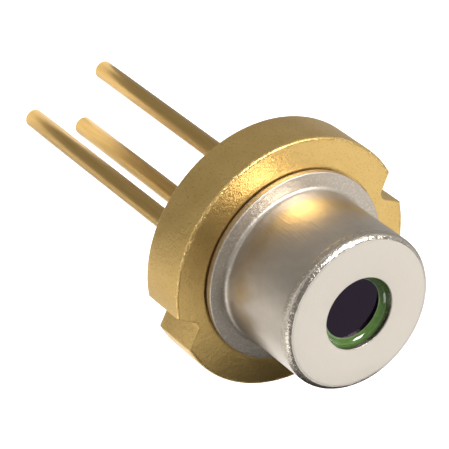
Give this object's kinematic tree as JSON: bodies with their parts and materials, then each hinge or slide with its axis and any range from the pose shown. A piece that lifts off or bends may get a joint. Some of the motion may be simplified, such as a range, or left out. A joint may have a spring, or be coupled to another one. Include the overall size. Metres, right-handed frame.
{
  "type": "laser diode",
  "caption": "Laser diode in a round gold-plated metal package: notched stem disc, nickel cap with a small coated window, and straight leads behind it.",
  "frame": {"origin": "centre of the stem's front reference face, on the optical axis", "axes": "+Z along the optical axis, the way the beam leaves through the window; +X towards the laser lead and the first locating notch; -Y towards the common lead and the square index notch"},
  "size_m": [0.0056, 0.0056, 0.0114],
  "materials": {
    "gold_plated_steel": "satin gold plating with a fine coined texture",
    "gold_plated_lead": "satin gold plating with faint drawing lines",
    "gold_plated_copper": "satin gold plating",
    "nickel_plated_steel": "satin nickel plating, rippled on the nose's rounding",
    "braze": "smooth silver braze",
    "solder": "smooth gold-tin solder",
    "gold_wire": "bright gold wire",
    "ceramic": "fine white ceramic with a gold face",
    "semiconductor": "dark polished crystal",
    "photodiode": "dark blue polished silicon",
    "sealing_glass": "dark glossy sealing glass",
    "solder_glass": "glossy green sealing glass",
    "coated_window": "polished glass with a purple anti-reflection coating"
  },
  "bodies": {
    "root": {"stem": "gold_plated_steel", "common_lead": "gold_plated_lead", "common_lead_braze": "braze", "laser_lead": "gold_plated_lead", "laser_lead_glass": "sealing_glass", "monitor_lead": "gold_plated_lead", "monitor_lead_glass": "sealing_glass", "heat_sink_post": "gold_plated_copper", "post_braze": "braze", "submount": "ceramic", "submount_solder": "solder", "laser_chip": "semiconductor", "chip_solder": "solder", "monitor_photodiode": "photodiode", "photodiode_solder": "solder", "laser_lead_wire": "gold_wire", "chip_ground_wire": "gold_wire", "photodiode_wire": "gold_wire", "cap": "nickel_plated_steel", "window_seal": "solder_glass", "window_glass": "coated_window"}
  },
  "joints": []
}
